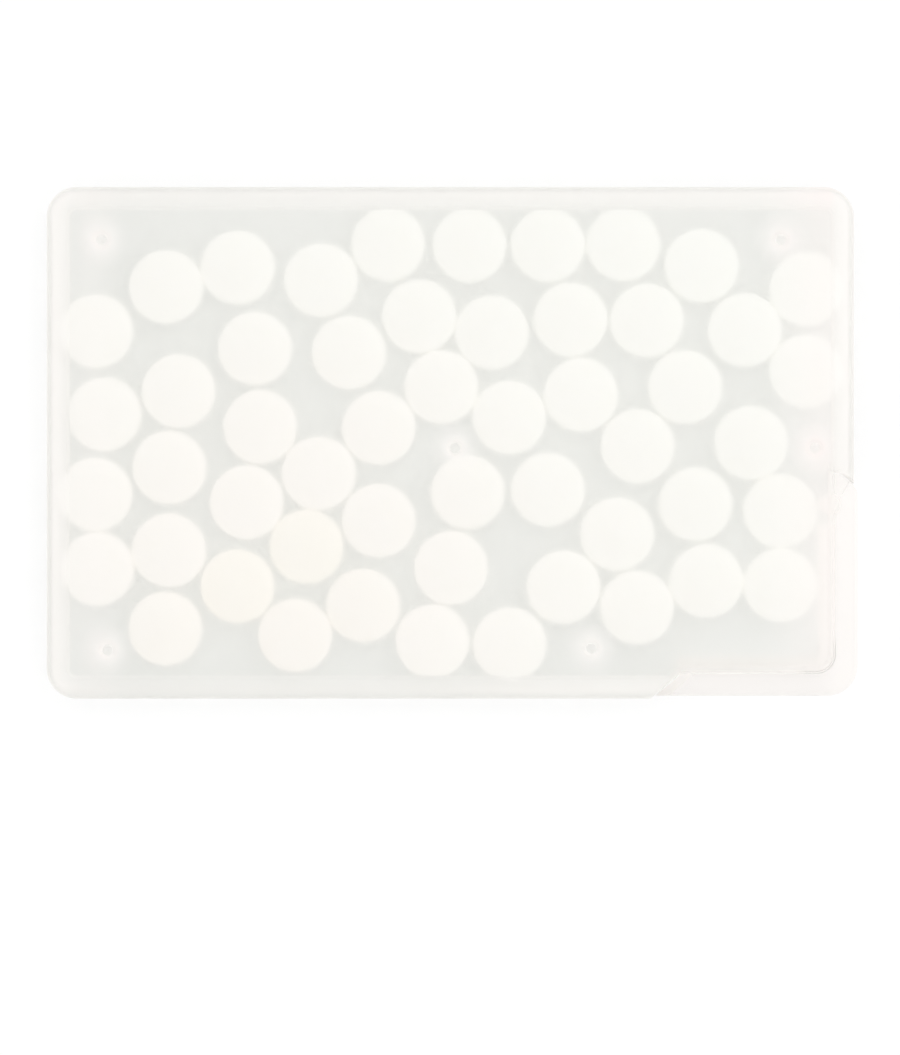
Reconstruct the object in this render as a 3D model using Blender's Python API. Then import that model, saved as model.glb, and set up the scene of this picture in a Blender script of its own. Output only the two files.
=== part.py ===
"""Flat pocket dispenser for round mints, about as large as a bank card.

Two shallow shells of frosted plastic close over a tray of loose mints. The back
shell carries a tongue round its wall and six pegs, the front shell the rebate and
the sockets that take them. One corner of the case is a separate L-shaped door: it
turns on a pin held between the two plates, and a flange on its inner side slides
between them and shuts the mouth.

Lengths are in metres. +X runs along the card to the right, +Y up the card and +Z
out of its front face. The origin is in the middle of the back face.
"""

import math

import bmesh
import bpy
import numpy as np
from mathutils import Matrix

# The case.
CARD_LENGTH = 0.0856          # over the door, which stands a little proud
CARD_WIDTH = 0.0540
CORNER_RADIUS = 0.0032        # outer corners in plan
WALL = 0.0010                 # side wall
SKIN = 0.0008                 # front and back plates
EDGE_ROUND = 0.0004           # rounding of the outer edges
BORDER = 0.0025               # raised border round the sunk front panel
PANEL_SINK = 0.00015
PANEL_LIP = 0.0004            # land left between the panel and the door slit
PANEL_CORNER = 0.0005
PLATE_CORNER = 0.0018         # corner of the plates inside the door's elbow

# The lap joint between the two shells.
SEAM_GAP = 0.0001
TONGUE_HEIGHT = 0.0006
TONGUE_FIT = 0.00005

# The mints.
MINT_DIAMETER = 0.0078
MINT_THICKNESS = 0.0030
MINT_BAND = 0.0014            # straight band between the two crowns
MINT_SEAT = 0.0001            # under a mint
MINT_HEADROOM = 0.0003        # over a mint
MINT_GAP = 0.00005            # between neighbours

# The pegs and their sockets.
PEG_RADIUS = 0.0005
PEG_FIT = 0.00005
PEG_TOP_GAP = 0.0005
SOCKET_RADIUS = 0.0010
SOCKET_GAP = 0.0001           # between a socket's mouth and its pad
PAD_RADIUS = 0.0017
PAD_HEIGHT = 0.0003
SLIM_POST_RADIUS = 0.0009     # the middle post, between two mints

# The corner door.
DOOR_PROUD = 0.0004           # stands out of the case's side
DOOR_RECESS = 0.0003          # lies back from the case's lower edge
DOOR_SINK = 0.0001            # lies back from the front and back faces
DOOR_GAP = 0.00015            # slit all round it
DOOR_BAND = 0.00255           # width of the L
DOOR_ARM = 0.0213             # length of the lower arm
DOOR_END_ANGLE = math.radians(40.0)
OPEN_ANGLE = math.radians(30.0)
FLANGE_WIDTH = 0.0015
FLANGE_PLAY = 0.0001          # above and below, between the plates
FLANGE_END = 0.0022           # back from the arm's end and from the pin
FLANGE_CORNER = 0.0005
THUMB_WIDTH = 0.0008          # bevel for the thumb at the free end
THUMB_DEPTH = 0.0014

# The hinge.
PIN_SETBACK = 0.00306         # from the door's outer side
PIN_HEIGHT = 0.02024          # from the door's lower edge
HINGE_CROWN = 0.0012          # how far the straight side runs on past the pin
EAR_RADIUS = 0.00115          # ears of the plates, round the pin
HUB_RADIUS = 0.0010
PIN_RADIUS = 0.0005
PIN_FIT = 0.00005
PIN_DEPTH = 0.0004            # how deep the pin sits in each plate
PIN_END_GAP = 0.00005

# Cutters run past what they cut by this much, and welded forms bite this deep.
OVERRUN = 0.0010
BITE = 0.0002

# Facets.
CORNER_STEPS = 7
SMALL_STEPS = 4
ROUND_STEPS = 3
POST_SIDES = 20
PIN_SIDES = 24
MINT_SIDES = 18
CROWN_SHARES = (0.62, 1.0)    # rings of a mint's crown, as shares of its radius

# The photograph's pixels: the card's sides, the middles of the posts and of the
# mints, read off it by eye.
PIXEL_LEFT, PIXEL_RIGHT = 60.0, 844.5
PIXEL_TOP, PIXEL_BOTTOM = 178.5, 707.0
POST_PIXELS = {
    "upper_left": (113, 233),
    "upper_right": (770, 233),
    "right": (803, 448),
    "lower_left": (119, 657),
    "lower": (587, 655),
}
SLIM_POST_PIXEL = (455, 448)
MINT_PIXELS = (
    (107, 327), (115, 413), (106, 496), (109, 573), (175, 281), (244, 261), (325, 274),
    (261, 345), (352, 349), (187, 389), (178, 468), (177, 554), (174, 635), (266, 426),
    (253, 504), (244, 591), (323, 474), (311, 550), (381, 427), (381, 523), (300, 642),
    (366, 611), (433, 648), (508, 651), (451, 572), (467, 493), (545, 491), (560, 592),
    (390, 237), (469, 238), (545, 238), (618, 237), (694, 259), (421, 312), (490, 328),
    (567, 315), (641, 316), (738, 325), (801, 284), (800, 369), (442, 385), (507, 416),
    (577, 393), (678, 385), (632, 446), (742, 443), (688, 506), (612, 537), (632, 613),
    (698, 586), (770, 513), (770, 590),
)
PIXEL_MINT_WIDTH, PIXEL_MINT_HEIGHT = 71.5, 76.3
SETTLE_ROUNDS = 900
LINK_SHARE = 1.2              # neighbours lie within this many mints of each other
PULL_SHARE = 0.1              # how much of a gap between neighbours one round closes

# Worked out from the sizes above.
CAVITY = MINT_SEAT + MINT_THICKNESS + MINT_HEADROOM
THICKNESS = SKIN + CAVITY + SKIN
SPLIT = THICKNESS / 2
CEILING = THICKNESS - SKIN
MINT_RADIUS = MINT_DIAMETER / 2

LEFT, RIGHT = -CARD_LENGTH / 2, CARD_LENGTH / 2 - DOOR_PROUD
LOWER, UPPER = -CARD_WIDTH / 2, CARD_WIDTH / 2
DOOR_RIGHT, DOOR_LOWER = CARD_LENGTH / 2, LOWER + DOOR_RECESS
SLIT_X, SLIT_Y = DOOR_RIGHT - DOOR_BAND, DOOR_LOWER + DOOR_BAND
PIN_X, PIN_Y = DOOR_RIGHT - PIN_SETBACK, DOOR_LOWER + PIN_HEIGHT
SWING_RADIUS = math.hypot(PIN_SETBACK, HINGE_CROWN)
FLANGE_LEFT = DOOR_RIGHT - DOOR_ARM + FLANGE_END
FLANGE_TOP = PIN_Y - FLANGE_END
FLANGE_LOW, FLANGE_HIGH = SKIN + FLANGE_PLAY, CEILING - FLANGE_PLAY


# Outlines in plan.

def arc(centre, radius, start, end, steps):
    """Points along an arc, both ends included."""
    angles = np.linspace(start, end, steps + 1)
    return [(centre[0] + radius * math.cos(a), centre[1] + radius * math.sin(a)) for a in angles]


def circle(centre, radius, sides):
    """Points of a full circle."""
    return arc(centre, radius, 0.0, math.tau, sides)[:-1]


def rounded_box(left, right, lower, upper, radius, steps):
    """A rectangle with rounded corners, anticlockwise."""
    quarter = math.pi / 2
    centres = ((left + radius, lower + radius), (right - radius, lower + radius),
               (right - radius, upper - radius), (left + radius, upper - radius))
    points = []
    for corner, centre in enumerate(centres):
        start = math.pi + corner * quarter
        points += arc(centre, radius, start, start + quarter, steps)
    return points


def end_line_x(y, offset):
    """X where the slanted end of the lower arm, moved by offset into the case, meets y."""
    rise = (y - DOOR_LOWER) * math.cos(DOOR_END_ANGLE)
    return DOOR_RIGHT - DOOR_ARM + (rise - offset) / math.sin(DOOR_END_ANGLE)


def case_outline(inset):
    """The case in plan without its door corner, drawn in by inset on every side."""
    quarter = math.pi / 2
    radius = CORNER_RADIUS - inset
    swing = SWING_RADIUS + DOOR_GAP + inset
    near = math.acos((SLIT_X - inset - PIN_X) / swing)
    far = math.acos((RIGHT - inset - PIN_X) / swing)
    foot, head = LOWER + inset, SLIT_Y + inset
    points = arc((LEFT + CORNER_RADIUS, LOWER + CORNER_RADIUS), radius,
                 2 * quarter, 3 * quarter, CORNER_STEPS)
    points.append((end_line_x(foot, DOOR_GAP + inset), foot))
    points.append((end_line_x(head, DOOR_GAP + inset), head))
    points += arc((SLIT_X - PLATE_CORNER, SLIT_Y + PLATE_CORNER), PLATE_CORNER - inset,
                  3 * quarter, 4 * quarter, SMALL_STEPS)
    points += arc((PIN_X, PIN_Y), swing, near, far, CORNER_STEPS)
    points += arc((RIGHT - CORNER_RADIUS, UPPER - CORNER_RADIUS), radius, 0.0, quarter, CORNER_STEPS)
    points += arc((LEFT + CORNER_RADIUS, UPPER - CORNER_RADIUS), radius,
                  quarter, 2 * quarter, CORNER_STEPS)
    return points


def door_outline(inset):
    """The door's L in plan, drawn in by inset.

    Past the pin its inner side leans back by the opening angle, so it comes up
    flat against the edge of the plates and stops the door there.
    """
    quarter = math.pi / 2
    swing = SWING_RADIUS - inset
    clear = SLIT_X + DOOR_GAP + inset - PIN_X
    start = math.acos((PIN_SETBACK - inset) / swing)
    stop = math.acos(clear / swing) - OPEN_ANGLE
    foot, head = DOOR_LOWER + inset, SLIT_Y - DOOR_GAP - inset
    points = [(end_line_x(foot, -inset), foot)]
    points += arc((DOOR_RIGHT - CORNER_RADIUS, DOOR_LOWER + CORNER_RADIUS), CORNER_RADIUS - inset,
                  3 * quarter, 4 * quarter, CORNER_STEPS)
    points += arc((PIN_X, PIN_Y), swing, start, stop, SMALL_STEPS)
    points.append((PIN_X + clear, PIN_Y - clear * math.tan(OPEN_ANGLE / 2)))
    points += arc((SLIT_X - PLATE_CORNER, SLIT_Y + PLATE_CORNER), PLATE_CORNER + DOOR_GAP + inset,
                  0.0, -quarter, SMALL_STEPS)
    points.append((end_line_x(head, -inset), head))
    return points


def flange_outline():
    """The lip on the door's inner side that shuts the mouth between the plates."""
    outer_x, outer_y = SLIT_X + DOOR_GAP + BITE, SLIT_Y - DOOR_GAP - BITE
    inner_x, inner_y = SLIT_X - FLANGE_WIDTH, SLIT_Y + FLANGE_WIDTH
    points = [(FLANGE_LEFT, outer_y), (outer_x, outer_y), (outer_x, FLANGE_TOP), (inner_x, FLANGE_TOP)]
    points += arc((inner_x - FLANGE_CORNER, inner_y + FLANGE_CORNER), FLANGE_CORNER,
                  0.0, -math.pi / 2, SMALL_STEPS)
    points.append((FLANGE_LEFT, inner_y))
    return points


def web_outline():
    """The thin web that fills the wedge behind the stop and turns in between the plates."""
    clear = SLIT_X + DOOR_GAP - PIN_X
    edge = math.acos(clear / SWING_RADIUS)
    points = [(PIN_X + clear, PIN_Y - clear), (PIN_X + clear + BITE, PIN_Y - clear)]
    points += arc((PIN_X, PIN_Y), SWING_RADIUS, edge - OPEN_ANGLE - BITE / SWING_RADIUS, edge,
                  SMALL_STEPS)
    return points


# Solids.

def loft(name, sections):
    """A closed solid through sections, (points, height) from the lowest up, all of one count."""
    mesh = bmesh.new()
    rings = [[mesh.verts.new((x, y, z)) for x, y in points] for points, z in sections]
    for below, above in zip(rings, rings[1:]):
        for i in range(len(below)):
            j = (i + 1) % len(below)
            mesh.faces.new((below[i], below[j], above[j], above[i]))
    mesh.faces.new(rings[0][::-1])
    mesh.faces.new(rings[-1])
    data = bpy.data.meshes.new(name)
    mesh.to_mesh(data)
    mesh.free()
    solid = bpy.data.objects.new(name, data)
    bpy.context.scene.collection.objects.link(solid)
    return solid


def prism(name, points, low, high):
    """An upright prism."""
    return loft(name, [(points, low), (points, high)])


def post(name, centre, radius, low, high, sides=POST_SIDES):
    """An upright cylinder."""
    return prism(name, circle(centre, radius, sides), low, high)


def edge_steps(height_from, towards):
    """Insets and heights of a quarter round that leaves a flat face at height_from."""
    steps = []
    for step in range(ROUND_STEPS + 1):
        angle = step / ROUND_STEPS * math.pi / 2
        inset = EDGE_ROUND * (1 - math.sin(angle))
        steps.append((inset, height_from + towards * EDGE_ROUND * (1 - math.cos(angle))))
    return steps


def combine(solid, operation, *tools):
    """Joins tools to a solid, or cuts them away from it, and removes them."""
    for tool in tools:
        modifier = solid.modifiers.new(tool.name, "BOOLEAN")
        modifier.operation = operation
        modifier.solver = "EXACT"
        modifier.object = tool
        graph = bpy.context.evaluated_depsgraph_get()
        result = bpy.data.meshes.new_from_object(solid.evaluated_get(graph))
        solid.modifiers.clear()
        solid.data = result
        bpy.data.objects.remove(tool, do_unlink=True)
    return solid


def finish(solid, name, material):
    """Names a piece, gives it its material and shades it."""
    solid.name = name
    solid.data.name = name
    solid.data.materials.clear()
    solid.data.materials.append(material)
    solid.data.shade_smooth()
    solid.data.set_sharp_from_angle(angle=math.radians(30.0))
    return solid


def plastic(name, colour, roughness, alpha=1.0):
    """A Principled material."""
    material = bpy.data.materials.new(name)
    material.use_nodes = True
    shader = material.node_tree.nodes["Principled BSDF"]
    shader.inputs["Base Color"].default_value = (*colour, 1.0)
    shader.inputs["Roughness"].default_value = roughness
    shader.inputs["Metallic"].default_value = 0.0
    shader.inputs["Alpha"].default_value = alpha
    return material


# Places read off the photograph.

def place(pixel):
    """A pixel of the photograph as a point on the card."""
    along = (pixel[0] - PIXEL_LEFT) / (PIXEL_RIGHT - PIXEL_LEFT)
    down = (pixel[1] - PIXEL_TOP) / (PIXEL_BOTTOM - PIXEL_TOP)
    return (LEFT + along * CARD_LENGTH, UPPER - down * CARD_WIDTH)


def nearest_on(start, end, points):
    """The nearest points of a straight line to each of points."""
    start, end = np.array(start), np.array(end)
    line = end - start
    share = np.clip((points - start) @ line / (line @ line), 0.0, 1.0)
    return start + share[:, None] * line


def settle_mints():
    """Middles of the mints: where the photograph has them, at the size the mints have.

    Neighbours in the photograph are held at the distance they have there, counted in
    mints, and any other two that touch are pushed apart. Each round moves every pair by
    half of what is wrong, then keeps the mints off the posts, the door's flange and
    hinge, and inside the walls. Pushing apart has the last word.
    """
    points = np.array([place(pixel) for pixel in MINT_PIXELS])
    seen = np.array(MINT_PIXELS) / np.array((PIXEL_MINT_WIDTH, PIXEL_MINT_HEIGHT))
    apart = np.linalg.norm(seen[:, None] - seen[None], axis=2)
    linked = (apart < LINK_SHARE) & (apart > 0.0)
    reach = MINT_DIAMETER + MINT_GAP
    target = np.where(linked, np.maximum(apart, 1.0) * reach, reach)
    hinge_wall = SWING_RADIUS + DOOR_GAP + WALL / 2
    round_things = [(place(pixel), PAD_RADIUS) for pixel in POST_PIXELS.values()]
    round_things.append((place(SLIM_POST_PIXEL), SLIM_POST_RADIUS))
    round_things.append(((PIN_X, PIN_Y), HUB_RADIUS))
    round_things.append(((SLIT_X - WALL, PIN_Y + hinge_wall), WALL / 2))
    flange_corner = (SLIT_X - FLANGE_WIDTH, SLIT_Y + FLANGE_WIDTH)
    flange_sides = (((flange_corner[0], FLANGE_TOP), flange_corner),
                    (flange_corner, (FLANGE_LEFT, flange_corner[1])))
    margin = WALL + MINT_GAP + MINT_RADIUS
    low = np.array((LEFT + margin, LOWER + margin))
    high = np.array((RIGHT - margin, UPPER - margin))
    for turn in range(SETTLE_ROUNDS):
        away = points[:, None] - points[None]
        distance = np.hypot(away[..., 0], away[..., 1])
        np.fill_diagonal(distance, np.inf)
        pull = np.where(linked, target - distance, 0.0).clip(max=0.0) * (turn < SETTLE_ROUNDS / 2)
        push = np.clip(reach - distance, 0.0, None)
        shift = push / 2 + pull * PULL_SHARE
        points = points + (away / distance[..., None] * shift[..., None]).sum(axis=1)
        for centre, radius in round_things:
            points = keep_off(points, np.array(centre), radius + MINT_GAP + MINT_RADIUS)
        for start, end in flange_sides:
            points = keep_off(points, nearest_on(start, end, points), MINT_GAP + MINT_RADIUS)
        points = np.clip(points, low, high)
    return points


def keep_off(points, near, distance):
    """Moves points straight out from what is near them, to at least distance."""
    away = points - near
    length = np.maximum(np.hypot(away[:, 0], away[:, 1]), BITE)
    missing = np.clip(distance - length, 0.0, None)
    return points + away / length[:, None] * missing[:, None]


# Pieces.

def cavity():
    """The room inside both shells, with the mouth that the door shuts."""
    room = prism("room", case_outline(WALL), SKIN, CEILING)
    mouth = [(FLANGE_LEFT - DOOR_GAP, SLIT_Y - OVERRUN), (SLIT_X + OVERRUN, SLIT_Y - OVERRUN),
             (SLIT_X + OVERRUN, PIN_Y), (FLANGE_LEFT - DOOR_GAP, PIN_Y)]
    return combine(room, "UNION", prism("mouth", mouth, SKIN, CEILING),
                   post("swing", (PIN_X, PIN_Y), SWING_RADIUS + DOOR_GAP, SKIN, CEILING,
                        2 * PIN_SIDES))


def ear(low, high):
    """One plate's ear round the pin, rounded over at its outer face."""
    sections = [(inset, z) for inset, z in (edge_steps(low, 1) + [(0.0, high)] if low == 0.0
                                            else [(0.0, low)] + edge_steps(high, -1)[::-1])]
    return loft("ear", [(circle((PIN_X, PIN_Y), EAR_RADIUS - inset, PIN_SIDES), z)
                        for inset, z in sections])


def back_shell(material):
    """The tray: plate, wall with its tongue, pads and pegs, and the lower pin socket."""
    sections = edge_steps(0.0, 1) + [(0.0, SPLIT)]
    shell = loft("back", [(case_outline(inset), z) for inset, z in sections])
    tongue = prism("tongue", case_outline(WALL / 2 + TONGUE_FIT), SPLIT - BITE, SPLIT + TONGUE_HEIGHT)
    combine(shell, "UNION", tongue)
    combine(shell, "DIFFERENCE", cavity())
    combine(shell, "UNION", ear(0.0, SKIN))
    places = [(place(pixel), PAD_RADIUS) for pixel in POST_PIXELS.values()]
    places.append((place(SLIM_POST_PIXEL), SLIM_POST_RADIUS))
    for centre, pad_radius in places:
        combine(shell, "UNION", post("pad", centre, pad_radius, SKIN - BITE, SKIN + PAD_HEIGHT))
        combine(shell, "UNION", post("peg", centre, PEG_RADIUS, SKIN, CEILING - PEG_TOP_GAP))
    combine(shell, "DIFFERENCE", post("socket", (PIN_X, PIN_Y), PIN_RADIUS + PIN_FIT,
                                      SKIN - PIN_DEPTH - PIN_END_GAP, SKIN + OVERRUN, PIN_SIDES))
    return finish(shell, "back_shell", material)


def front_shell(material):
    """The lid: plate with its sunk panel, wall with its rebate, sockets, upper pin socket."""
    low = SPLIT + SEAM_GAP
    sections = [(0.0, low)] + edge_steps(THICKNESS, -1)[::-1]
    shell = loft("front", [(case_outline(inset), z) for inset, z in sections])
    rebate = prism("rebate", case_outline(WALL / 2), low - OVERRUN,
                   SPLIT + TONGUE_HEIGHT + TONGUE_FIT)
    combine(shell, "DIFFERENCE", rebate, cavity())
    combine(shell, "UNION", ear(CEILING, THICKNESS))
    panel = prism("panel", rounded_box(LEFT + BORDER, RIGHT - BORDER, LOWER + BORDER, UPPER - BORDER,
                                       PANEL_CORNER, SMALL_STEPS), THICKNESS - PANEL_SINK,
                  THICKNESS + OVERRUN)
    combine(panel, "INTERSECT", prism("land", case_outline(PANEL_LIP), CEILING,
                                      THICKNESS + 2 * OVERRUN))
    combine(shell, "DIFFERENCE", panel)
    mouth = SKIN + PAD_HEIGHT + SOCKET_GAP
    places = [(place(pixel), SOCKET_RADIUS) for pixel in POST_PIXELS.values()]
    places.append((place(SLIM_POST_PIXEL), SLIM_POST_RADIUS))
    for centre, radius in places:
        combine(shell, "UNION", post("boss", centre, radius, mouth, CEILING + BITE))
        combine(shell, "DIFFERENCE", post("bore", centre, PEG_RADIUS + PEG_FIT,
                                          mouth - OVERRUN, CEILING))
    combine(shell, "DIFFERENCE", post("socket", (PIN_X, PIN_Y), PIN_RADIUS + PIN_FIT,
                                      CEILING - OVERRUN, CEILING + PIN_DEPTH + PIN_END_GAP, PIN_SIDES))
    return finish(shell, "front_shell", material)


def thumb_bevel(name, low, high):
    """A wedge that bevels the free end of the door at one face, widest at height high."""
    across = (math.sin(DOOR_END_ANGLE), -math.cos(DOOR_END_ANGLE))
    far_foot, far_head = DOOR_LOWER - OVERRUN, SLIT_Y + OVERRUN

    def section(depth):
        rows = []
        for y in (far_foot, far_head):
            x = end_line_x(y, 0.0)
            rows.append(((x - OVERRUN * across[0], y - OVERRUN * across[1]),
                         (x + depth * across[0], y + depth * across[1])))
        return [rows[0][0], rows[0][1], rows[1][1], rows[1][0]]

    slope = THUMB_WIDTH / THUMB_DEPTH
    beyond = THUMB_WIDTH + slope * OVERRUN
    if high > low:
        return loft(name, [(section(0.0), low), (section(beyond), high + OVERRUN)])
    return loft(name, [(section(beyond), high - OVERRUN), (section(0.0), low)])


def corner_door(material):
    """The L with its flange, its web, the hub and the two ends of its pin."""
    top = THICKNESS - DOOR_SINK
    sections = edge_steps(DOOR_SINK, 1) + edge_steps(top, -1)[::-1]
    door = loft("door", [(door_outline(inset), z) for inset, z in sections])
    clear_ear = EAR_RADIUS + DOOR_GAP
    combine(door, "DIFFERENCE",
            post("front_ear", (PIN_X, PIN_Y), clear_ear, FLANGE_HIGH, THICKNESS + OVERRUN, PIN_SIDES),
            post("back_ear", (PIN_X, PIN_Y), clear_ear, -OVERRUN, FLANGE_LOW, PIN_SIDES),
            thumb_bevel("front_bevel", top - THUMB_DEPTH, top),
            thumb_bevel("back_bevel", DOOR_SINK + THUMB_DEPTH, DOOR_SINK))
    combine(door, "UNION",
            prism("flange", flange_outline(), FLANGE_LOW, FLANGE_HIGH),
            prism("web", web_outline(), FLANGE_LOW, FLANGE_HIGH),
            post("hub", (PIN_X, PIN_Y), HUB_RADIUS, FLANGE_LOW, FLANGE_HIGH, PIN_SIDES),
            post("pin", (PIN_X, PIN_Y), PIN_RADIUS, SKIN - PIN_DEPTH, CEILING + PIN_DEPTH, PIN_SIDES))
    door.data.transform(Matrix.Translation((-PIN_X, -PIN_Y, 0.0)))
    door.location = (PIN_X, PIN_Y, 0.0)
    return finish(door, "corner_door", material)


def mint_mesh(material):
    """A pressed mint: a straight band between two crowns, which are caps of a sphere."""
    rise = (MINT_THICKNESS - MINT_BAND) / 2
    ball = (MINT_RADIUS ** 2 + rise ** 2) / (2 * rise)
    rings = []
    for share in CROWN_SHARES:
        radius = share * MINT_RADIUS
        rings.append((radius, rise - ball + math.sqrt(ball ** 2 - radius ** 2)))
    profile = [(radius, rise - height) for radius, height in rings]
    profile += [(radius, rise + MINT_BAND + height) for radius, height in rings[::-1]]
    mesh = bmesh.new()
    loops = [[mesh.verts.new((x, y, z)) for x, y in circle((0.0, 0.0), radius, MINT_SIDES)]
             for radius, z in profile]
    foot, crown = mesh.verts.new((0.0, 0.0, 0.0)), mesh.verts.new((0.0, 0.0, MINT_THICKNESS))
    for i in range(MINT_SIDES):
        j = (i + 1) % MINT_SIDES
        for below, above in zip(loops, loops[1:]):
            mesh.faces.new((below[i], below[j], above[j], above[i]))
        mesh.faces.new((foot, loops[0][j], loops[0][i]))
        mesh.faces.new((crown, loops[-1][i], loops[-1][j]))
    data = bpy.data.meshes.new("mint")
    mesh.to_mesh(data)
    mesh.free()
    data.materials.append(material)
    data.shade_smooth()
    data.set_sharp_from_angle(angle=math.radians(30.0))
    return data


def build():
    """Clears the scene and makes every piece."""
    for old in list(bpy.data.objects):
        bpy.data.objects.remove(old, do_unlink=True)
    back_shell(plastic("frosted_back", (0.90, 0.92, 0.92), 0.45, 0.5))
    front_shell(plastic("frosted_front", (0.90, 0.92, 0.92), 0.40, 0.5))
    corner_door(plastic("frosted_door", (0.92, 0.94, 0.94), 0.40, 0.7))
    mesh = mint_mesh(plastic("mint", (0.93, 0.91, 0.87), 0.80))
    for number, (x, y) in enumerate(settle_mints(), start=1):
        mint = bpy.data.objects.new(f"mint_{number:02d}", mesh)
        mint.location = (x, y, SKIN + MINT_SEAT)
        bpy.context.scene.collection.objects.link(mint)


build()
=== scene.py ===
"""Looks of a flat pocket dispenser for round mints, seen from straight above.

Two frosted plastic shells with a corner door hold a loose layer of chalky mints. Every
length is in metres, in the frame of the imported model: +X along the card, +Y up the
card and +Z out of its front face.
"""

import logging
import math
from dataclasses import dataclass, replace
from enum import Enum
from typing import Any, Optional, Union

import bpy
import numpy as np
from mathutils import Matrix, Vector


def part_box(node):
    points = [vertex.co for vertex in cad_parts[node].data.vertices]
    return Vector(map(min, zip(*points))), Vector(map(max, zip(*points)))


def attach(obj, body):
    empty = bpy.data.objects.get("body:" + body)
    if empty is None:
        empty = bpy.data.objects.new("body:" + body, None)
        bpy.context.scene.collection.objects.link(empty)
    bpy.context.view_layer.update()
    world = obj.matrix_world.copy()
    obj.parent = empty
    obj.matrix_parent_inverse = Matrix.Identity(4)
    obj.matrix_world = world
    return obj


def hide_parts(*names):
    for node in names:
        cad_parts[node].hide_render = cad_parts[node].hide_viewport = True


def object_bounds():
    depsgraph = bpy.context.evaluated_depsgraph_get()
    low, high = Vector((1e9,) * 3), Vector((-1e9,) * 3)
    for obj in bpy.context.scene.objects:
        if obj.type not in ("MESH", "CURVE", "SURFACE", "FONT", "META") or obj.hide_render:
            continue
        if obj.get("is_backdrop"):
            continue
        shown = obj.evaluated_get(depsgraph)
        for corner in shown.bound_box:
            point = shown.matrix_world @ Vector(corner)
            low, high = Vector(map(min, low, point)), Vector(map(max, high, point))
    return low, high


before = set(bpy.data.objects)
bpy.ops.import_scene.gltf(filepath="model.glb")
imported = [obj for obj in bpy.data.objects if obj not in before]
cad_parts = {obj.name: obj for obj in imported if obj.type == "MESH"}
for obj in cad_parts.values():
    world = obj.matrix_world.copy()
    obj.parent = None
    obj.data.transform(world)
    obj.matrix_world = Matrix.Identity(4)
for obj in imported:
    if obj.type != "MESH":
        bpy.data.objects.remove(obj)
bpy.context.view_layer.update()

LOG = logging.getLogger("mint_card")
QUARTER = math.pi / 2
SHARP_ANGLE = math.radians(32.0)

Colour = tuple[float, float, float]
Point = tuple[float, float]
Pairs = tuple[Point, ...]
Socket = bpy.types.NodeSocket
Value = Union["Signal", float]

BLACK: Colour = (0.0, 0.0, 0.0)
WHITE: Colour = (1.0, 1.0, 1.0)
# The Mix node's sockets for colours, whose names its sockets for numbers have too.
MIX_FIRST, MIX_SECOND, MIX_RESULT = 6, 7, 2


# Shader graphs.

class Pattern(Enum):
    """Where a finish reads its pattern."""

    OBJECT = "Object"
    NORMAL = "Normal"


@dataclass(frozen=True)
class Signal:
    """A number that a shader graph works out, which takes part in Python sums.

    Attributes:
        graph: The graph that the socket belongs to.
        socket: The output that carries the number.
    """

    graph: "Graph"
    socket: Any

    def _math(self, operation: str, *values: Value, clamp: bool = False) -> "Signal":
        """Adds a Math node.

        Args:
            operation: The node's operation.
            *values: Its inputs, in order.
            clamp: Whether the result stays between 0 and 1.

        Returns:
            The node's result.
        """
        settings = {"operation": operation, "use_clamp": clamp}
        return self.graph.signal("ShaderNodeMath", settings, dict(enumerate(values)))

    def __add__(self, other: Value) -> "Signal":
        """This plus other."""
        return self._math("ADD", self, other)

    def __radd__(self, other: Value) -> "Signal":
        """Other plus this."""
        return self._math("ADD", other, self)

    def __sub__(self, other: Value) -> "Signal":
        """This minus other."""
        return self._math("SUBTRACT", self, other)

    def __rsub__(self, other: Value) -> "Signal":
        """Other minus this."""
        return self._math("SUBTRACT", other, self)

    def __mul__(self, other: Value) -> "Signal":
        """This times other."""
        return self._math("MULTIPLY", self, other)

    def __rmul__(self, other: Value) -> "Signal":
        """Other times this."""
        return self._math("MULTIPLY", other, self)

    def above(self, other: Value) -> "Signal":
        """The larger of this and other."""
        return self._math("MAXIMUM", self, other)

    def below(self, other: Value) -> "Signal":
        """The smaller of this and other."""
        return self._math("MINIMUM", self, other)

    def size(self) -> "Signal":
        """This without its sign."""
        return self._math("ABSOLUTE", self)

    def held(self) -> "Signal":
        """This, kept between 0 and 1."""
        return self._math("ADD", self, 0.0, clamp=True)


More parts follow.
